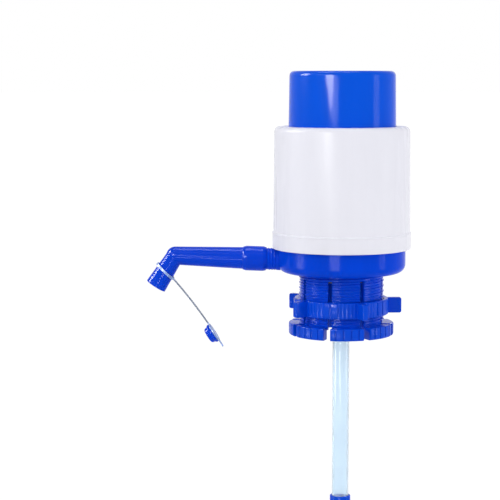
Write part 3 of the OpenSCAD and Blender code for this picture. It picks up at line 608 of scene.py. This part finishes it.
rootAt = loopAt + Vector((cos(lean), 0, -sin(lean))) * strap["root"] * mm
arcRadius = strap["length"] * mm / (last - first)
arcCentre = rootAt - Vector((sin(first), 0, cos(first))) * arcRadius
eyeAngle = pi / 2 - first - strap["eyeAt"] * mm / arcRadius
eyeAt = arcCentre + Vector((cos(eyeAngle), 0, sin(eyeAngle))) * arcRadius
eyeFrame = Matrix.Translation(eyeAt) @ Matrix.Rotation(pi / 2 - eyeAngle, 4, "Y")
obj = placed(turned("capStrapBand", strap["loop"], strap["loopSteps"]), loopFrame)
# the band: the end face of a thin block, carried round the arc
thick, width = strap["thick"] / 2, strap["width"] / 2
section = block("band", (-thick, -width, -0.01), (thick, width, 0))
editMesh(section)
selectWhere(section, "FACE", lambda f: f.calc_center_median().z < -0.005 * mm and f.normal.z < -0.5)
bpy.ops.mesh.select_all(action="INVERT")
bpy.ops.mesh.delete(type="FACE")
leaveEdit()
placed(section, Matrix.Translation(rootAt) @ Matrix.Rotation(first - pi / 2, 4, "Y"))
editMesh(section)
bpy.ops.mesh.spin(steps=strap["sections"], angle=first - last, center=arcCentre, axis=(0, 1, 0))
bpy.ops.mesh.select_all(action="SELECT")
bpy.ops.mesh.normals_make_consistent(inside=False)
leaveEdit()
eye = placed(turned("eye", strap["eye"], strap["eyeSteps"]), eyeFrame)
added(obj, section)
added(obj, eye)
cutAway(obj, placed(rodOf("rivetHole", strap["hole"]), eyeFrame))
# the heights over which the band's painted shade runs
heights = (eyeAt.z + strap["paleAbove"] * mm, rootAt.z)
plastic = strapPlastic("strapPlastic", strap["pale"], strap["deep"], heights)
finished(obj, "strap", "clear_plastic", "cap_strap", finish=plastic)

cap = {
    "outline": [
        (0, 0.6), (2.5, 0.6, 0.2), (2.5, -0.7), (7.3, -0.7, 0.3), (7.3, -2.0, 0.5), (6.2, -3.2, 0.5),
        (5.9, -5.7, 1.8), (0, -5.7),
    ],
    "steps": 72,
}
obj = placed(turned("spoutCapPlug", cap["outline"], cap["steps"], closed=False), eyeFrame)
finished(obj, "strap", "spout_blue", "spout_cap")
print("strap and cap made")

# collar

collar = {
    # the two starts of the thread have crests of their own
    "crests": (31.5, 31.1), "root": 30.6, "pitch": 2.0, "low": -34.0, "high": 5.5, "first": 0.9,
    "steps": 180, "footSteps": 24, "boreSteps": 144,
    "bore": [(0, -45), (29.4, -45), (29.4, -40.9), (28, -39.5), (28, 3, 0.4), (13, 3), (13, 6), (0, 6)],
    "count": 8, "slotTurn": -18.8, "slotWidth": 3.2, "slotTop": 1.4,
    "foot": [(29.2, -40.9), (39, -40.9, 1.6), (39, -32, 0.9), (29.2, -32)],
    "footGap": 5.2, "footEdge": 0.3, "grooves": (-12.6, -4.2, 4.2, 12.6), "grooveWidth": 0.9,
    # the cutters for slots, gaps and grooves: where each begins, and how far out, down and up they go
    "slotFrom": 20, "gapFrom": 25, "grooveFrom": 38.3, "cutTo": 45, "cutLow": -45, "cutHigh": -30,
}
obj = threadedRod("splitCollarBody", collar["crests"], collar["root"], collar["pitch"],
                  collar["low"], collar["high"], collar["steps"], collar["first"])
halfStep = 180 / collar["count"]
foot = turned("foot", collar["foot"], collar["footSteps"], start=-halfStep, sweep=2 * halfStep)
cutTo, cutLow = collar["cutTo"], collar["cutLow"]
half = collar["footGap"] / 2
for side in (-1, 1):
    gap = block("gap", (collar["gapFrom"], -half, cutLow), (cutTo, half, collar["cutHigh"]))
    cutAway(foot, placed(gap, Matrix.Rotation(radians(side * halfStep), 4, "Z")))
half = collar["grooveWidth"] / 2
for angle in collar["grooves"]:
    groove = block("groove", (collar["grooveFrom"], -half, cutLow), (cutTo, half, collar["cutHigh"]))
    cutAway(foot, placed(groove, Matrix.Rotation(radians(angle), 4, "Z")))
applied(foot, "BEVEL", width=collar["footEdge"] * mm, segments=2, limit_method="ANGLE",
        angle_limit=radians(40))
added(obj, ringOf(foot, collar["count"], collar["slotTurn"] + halfStep))
half = collar["slotWidth"] / 2
slot = block("slot", (collar["slotFrom"], -half, cutLow), (cutTo, half, collar["slotTop"]))
cutAway(obj, ringOf(slot, collar["count"], collar["slotTurn"]))
cutAway(obj, turned("bore", collar["bore"], collar["boreSteps"], closed=False))
finished(obj, "pump", "collar_blue", "split_collar")
print("collar made")

# lock ring

lockRing = {
    "outline": [
        (31.6, -24.7), (32.2, -25.3, 0.3), (34.7, -25.3, 0.7), (34.7, -13.5, 0.7),
        (32.2, -13.5, 0.3), (31.6, -14.1),
    ],
    "face": 34.7, "ribs": 80, "ribHeight": 0.28,
    "wings": {
        "count": 5, "turn": 2.0, "from": 33.0, "to": 44.8, "thick": 4.2, "low": -25.15,
        "high": -13.65, "round": 1.5, "edge": 0.45,
    },
    "pads": {
        "outline": [(33.6, -24.25), (35.3, -24.25), (35.3, -14.55), (33.6, -14.55)],
        "angle": 8.9, "steps": 12, "edge": 0.2, "groove": 0.9, "grooveFrom": 34.5, "cutTo": 40,
        "cutLow": -30, "cutHigh": -10,
    },
}
wings, pads = lockRing["wings"], lockRing["pads"]
obj = turned("lockRingBody", lockRing["outline"], 3 * lockRing["ribs"])


def onRib(vertex):
    # on the outer face, at every third step round it
    turn = Vector((1, 0)).angle_signed(vertex.co.xy)
    return (vertex.co.xy.length > (lockRing["face"] - 0.05) * mm
            and abs(sin(lockRing["ribs"] / 2 * turn)) < 0.1)


def onTip(edge):
    # an upright edge at the outer end of a wing
    return (all(v.co.x > (wings["to"] - 0.8) * mm for v in edge.verts)
            and abs(edge.verts[0].co.z - edge.verts[1].co.z) < 0.1 * mm)


editMesh(obj)
selectWhere(obj, "VERT", onRib)
grow = 1 + lockRing["ribHeight"] / lockRing["face"]
bpy.ops.transform.resize(value=(grow, grow, 1), center_override=(0, 0, 0))
leaveEdit()
half = wings["thick"] / 2
wing = block("wing", (wings["from"], -half, wings["low"]), (wings["to"], half, wings["high"]))
editMesh(wing)
selectWhere(wing, "EDGE", onTip)
bpy.ops.mesh.bevel(offset=wings["round"] * mm, segments=6, affect="EDGES")
leaveEdit()
applied(wing, "BEVEL", width=wings["edge"] * mm, segments=3, limit_method="ANGLE",
        angle_limit=radians(50))
added(obj, ringOf(wing, wings["count"], wings["turn"]))
pad = turned("pad", pads["outline"], pads["steps"], start=-pads["angle"], sweep=2 * pads["angle"])
half = pads["groove"] / 2
cutAway(pad, block("padGroove", (pads["grooveFrom"], -half, pads["cutLow"]),
                   (pads["cutTo"], half, pads["cutHigh"])))
applied(pad, "BEVEL", width=pads["edge"] * mm, segments=2, limit_method="ANGLE",
        angle_limit=radians(50))
added(obj, ringOf(pad, wings["count"], wings["turn"] + 180 / wings["count"]))
finished(obj, "lock_ring", "collar_blue", "lock_ring")
print("lock ring made")

# gasket, dip tube and couplers

gasket = {
    "outline": [
        (10.4, 0, 0.3), (27.7, 0, 0.5), (27.7, 3, 0.4), (12.9, 3, 0.3), (12.9, 5.5, 0.2),
        (10.4, 5.5, 0.2),
    ],
    "steps": 128,
}
obj = turned("mouthGasketRing", gasket["outline"], gasket["steps"])
finished(obj, "pump", "grey_rubber", "mouth_gasket")

tubes = {
    "inner": 5.3, "outer": 6.3, "steps": 72,
    "notchWidth": 5.0, "notchHeight": 5.0, "notchReach": 9, "notchBelow": 1,
    # name, lower end, upper end, node and the turns of the notches in its foot
    "lengths": [
        ("upperTube", -178.0, -2.0, "upper_dip_tube", ()),
        ("middleTube", -329.7, -179.7, "middle_dip_tube", ()),
        ("lowerTube", -481.4, -331.4, "lower_dip_tube", (0, 90)),
    ],
}
inner, outer = tubes["inner"], tubes["outer"]
half, reach = tubes["notchWidth"] / 2, tubes["notchReach"]
for name, low, high, node, notches in tubes["lengths"]:
    outline = [(inner, low, 0.2), (outer, low, 0.25), (outer, high, 0.25), (inner, high, 0.2)]
    obj = turned(name, outline, tubes["steps"])
    for turn in notches:
        notch = block("notch", (-reach, -half, low - tubes["notchBelow"]),
                      (reach, half, low + tubes["notchHeight"]))
        cutAway(obj, placed(notch, Matrix.Rotation(radians(turn), 4, "Z")))
    finished(obj, "pump", "clear_plastic", node)

couplers = {
    # heights are from the middle of the coupler
    "outline": [
        (5.3, -0.75, 0.2), (5.3, 0.75, 0.2), (6.35, 0.75), (6.35, 15, 0.3), (7.75, 15, 0.6),
        (7.75, 5.2, 0.1), (8, 5, 0.1), (8, 4.2, 0.1), (7.75, 4, 0.1), (7.75, -4, 0.1),
        (8, -4.2, 0.1), (8, -5, 0.1), (7.75, -5.2, 0.1), (7.75, -15, 0.6), (6.35, -15, 0.3),
        (6.35, -0.75),
    ],
    "places": [
        ("upperCoupler", -178.85, "upper_tube_coupler"),
        ("lowerCoupler", -330.55, "lower_tube_coupler"),
    ],
    "steps": 72,
}
for name, middle, node in couplers["places"]:
    outline = [(r, z + middle, *rest) for r, z, *rest in couplers["outline"]]
    obj = turned(name, outline, couplers["steps"])
    finished(obj, "pump", "collar_blue", node)
print("gasket and dip tube made")

# bellows and return spring, which shorten as the button goes down

bellows = {
    "low": 29.5, "high": 148.2, "flange": 1.6, "outer": 33.8, "inner": 28.3, "wall": 1.2,
    # the flanges' radii and those of the necks between flanges and folds
    "lowRim": 42.9, "highRim": 32.8, "highHole": 18.8, "neck": 28.7, "neckHole": 27.1,
    "folds": 10, "perFold": 8, "foldGap": 2.6, "foldShape": 0.8, "steps": 96, "keep": 0.705,
}
low, high, flange = bellows["low"], bellows["high"], bellows["flange"]
foldFrom = low + bellows["foldGap"]
foldHeight = (high - bellows["foldGap"] - foldFrom) / bellows["folds"]
folds = []
for i in range(bellows["folds"] * bellows["perFold"] + 1):
    share = (1 - cos(2 * pi * i / bellows["perFold"])) / 2
    bulge = (bellows["outer"] - bellows["inner"]) * share ** bellows["foldShape"]
    folds.append((bellows["inner"] + bulge, foldFrom + foldHeight * i / bellows["perFold"]))
outside = [(bellows["lowRim"], low, 0.3), (bellows["lowRim"], low + flange, 0.3),
           (bellows["neck"], low + flange)]
outside += folds
outside += [(bellows["neck"], high - flange), (bellows["highRim"], high - flange, 0.3),
            (bellows["highRim"], high, 0.3), (bellows["highHole"], high, 0.3),
            (bellows["highHole"], high - flange, 0.3), (bellows["neckHole"], high - flange)]
inside = [(r - bellows["wall"], z) for r, z in reversed(folds)]
inside += [(bellows["neckHole"], low, 0.2)]
obj = turned("bellowsSkin", outside + inside, bellows["steps"])
finished(obj, "pump", "grey_rubber", "bellows", angle=50)
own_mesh(obj)

spring = {
    "low": 30.5, "high": 143.1, "radius": 16.3, "wire": 0.9, "openTurns": 8, "closedRise": 2.3,
    "perTurn": 24, "seat": 29.6, "keep": 0.693,
}
wireAt = (spring["radius"] * mm, 0, spring["low"] * mm)
bpy.ops.object.select_all(action="DESELECT")
bpy.ops.mesh.primitive_circle_add(vertices=10, radius=spring["wire"] * mm, fill_type="NGON",
                                  location=wireAt, rotation=(pi / 2, 0, 0))
obj = bpy.context.object
obj.name = "returnSpringWire"
bpy.ops.object.transform_apply(location=True, rotation=True, scale=True)
editMesh(obj)
total = spring["openTurns"] + 2
openRise = (spring["high"] - spring["low"] - 2 * spring["closedRise"]) / spring["openTurns"]
for i in range(total * spring["perTurn"]):
    turn = (i + 0.5) / spring["perTurn"]
    rise = spring["closedRise"] if turn < 1 or turn > total - 1 else openRise
    step = (0, 0, rise * mm / spring["perTurn"])
    bpy.ops.mesh.extrude_region_move(TRANSFORM_OT_translate={"value": step})
    bpy.ops.transform.rotate(value=-2 * pi / spring["perTurn"], orient_axis="Z",
                             center_override=(0, 0, 0))
leaveEdit()
tidyMesh(obj)
finished(obj, "pump", "spring_steel", "return_spring", angle=60)
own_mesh(obj)
print("bellows and spring made")

# camera

camera = {
    # the focal length and the frame's width are in pixels
    "at": (-0.0679, -1.2, 0.1504), "pitch": 6.121, "focal": 1626.3, "frame": 500.0, "sensor": 36.0,
}
bpy.ops.object.camera_add(location=camera["at"], rotation=(radians(90 - camera["pitch"]), 0, 0))
eyePoint = bpy.context.object
eyePoint.data.sensor_width = camera["sensor"]
eyePoint.data.lens = camera["sensor"] * camera["focal"] / camera["frame"]
eyePoint.data.clip_start = 0.01
eyePoint.data.clip_end = 60
bpy.context.scene.camera = eyePoint

# floor, world and lamps

studio = {
    "floorSize": 60.0, "floorDrop": 0.2, "floorColour": (0.95, 0.95, 0.95),
    # the glow's share of the floor and its strength, for rays that see the floor; the sky's light
    "floorGlow": 0.8, "floorWhite": 1.15, "skyLight": 0.61,
    "lamps": [
        # name, place, aim, up direction, width, height, power; the cards show only as reflections
        ("keySoftbox", (-1.0, -0.85, 0.62), (0, 0, 0.05), (0, 0, 1), 0.6, 0.55, 5.8),
        ("rightStrip", (1.2, -0.35, 0.1), (0, 0, 0.05), (0, 0, 1), 0.32, 0.8, 4.8),
        ("topSoftbox", (-0.25, -0.85, 1.1), (0, 0, -0.02), (1, 0, 0), 0.5, 0.9, 2.4),
        ("buttonCard", (-0.43, -1.3, 0.22), (0, 0, 0.13), (0, 0, 1), 0.3, 0.26, 4.0),
        ("noseCard", (-0.55, -0.965, 0.35), (-0.13, 0, 0), (-0.54, 0, -0.84), 0.34, 0.3, 26.0),
        ("leftCard", (-1.09, 0.08, 0.54), (-0.13, 0, 0), (-0.54, 0, -0.84), 0.5, 0.5, 40.0),
        ("overheadCard", (-0.1, 0.1, 1.4), (0, 0, 0), (0, 1, 0), 0.9, 0.6, 22.0),
        ("ringCard", (-0.35, -1.32, -0.28), (0, 0, -0.02), (0, 0, 1), 0.42, 0.16, 4.0),
        ("ringLeftCard", (-1.35, -0.2, -0.28), (0, 0, -0.02), (0, 0, 1), 0.42, 0.16, 3.0),
    ],
}


def whiteForEye(nodes, links, strength):
    # this strength for rays from the camera, reflections and clear plastic, and 0 for the rest
    path = nodes.new("ShaderNodeLightPath")
    total = path.outputs["Is Camera Ray"]
    for name in ("Is Glossy Ray", "Is Transmission Ray"):
        add = nodes.new("ShaderNodeMath")
        add.operation = "MAXIMUM"
        links.new(total, add.inputs[0])
        links.new(path.outputs[name], add.inputs[1])
        total = add.outputs["Value"]
    share = nodes.new("ShaderNodeMath")
    share.operation = "MULTIPLY"
    share.inputs[1].default_value = strength
    links.new(total, share.inputs[0])
    return share.outputs["Value"]


bpy.ops.object.select_all(action="DESELECT")
bpy.ops.mesh.primitive_circle_add(vertices=96, radius=studio["floorSize"], fill_type="NGON",
                                  location=(0, 0, cadLow[2] - studio["floorDrop"] * mm))
floor = bpy.context.object
floor.name = "studioFloor"
floorMaterial = bpy.data.materials.new("paleFloor")
floorMaterial.use_nodes = True
nodes, links = floorMaterial.node_tree.nodes, floorMaterial.node_tree.links
plain = nodes["Principled BSDF"]
plain.inputs["Base Color"].default_value = (*studio["floorColour"], 1)
plain.inputs["Roughness"].default_value = 0.9
plain.inputs["Specular IOR Level"].default_value = 0
glow = nodes.new("ShaderNodeEmission")
glow.inputs["Strength"].default_value = studio["floorWhite"]
mix = nodes.new("ShaderNodeMixShader")
links.new(whiteForEye(nodes, links, studio["floorGlow"]), mix.inputs["Fac"])
links.new(plain.outputs["BSDF"], mix.inputs[1])
links.new(glow.outputs["Emission"], mix.inputs[2])
links.new(mix.outputs["Shader"], nodes["Material Output"].inputs["Surface"])
floor.data.materials.append(floorMaterial)

world = bpy.data.worlds.new("paleStudio")
bpy.context.scene.world = world
world.use_nodes = True
nodes, links = world.node_tree.nodes, world.node_tree.links
level = nodes.new("ShaderNodeMath")
level.operation = "ADD"
level.inputs[1].default_value = studio["skyLight"]
links.new(whiteForEye(nodes, links, 1 - studio["skyLight"]), level.inputs[0])
nodes["Background"].inputs["Color"].default_value = (1, 1, 1, 1)
links.new(level.outputs["Value"], nodes["Background"].inputs["Strength"])

for name, place, aim, up, width, height, power in studio["lamps"]:
    bpy.ops.object.light_add(type="AREA", location=place)
    lamp = bpy.context.object
    lamp.name = name
    lamp.data.shape = "RECTANGLE"
    lamp.data.size = width
    lamp.data.size_y = height
    lamp.data.energy = power
    # a lamp shines down its own -Z
    back = (Vector(place) - Vector(aim)).normalized()
    side = Vector(up).cross(back).normalized()
    lamp.rotation_euler = Matrix((side, back.cross(side), back)).transposed().to_euler()
    lamp.visible_camera = False
    lamp.visible_diffuse = not name.endswith("Card")
    lamp.visible_transmission = not name.endswith("Card")

bpy.context.scene.view_settings.view_transform = "Standard"
print("camera, floor and lamps set")
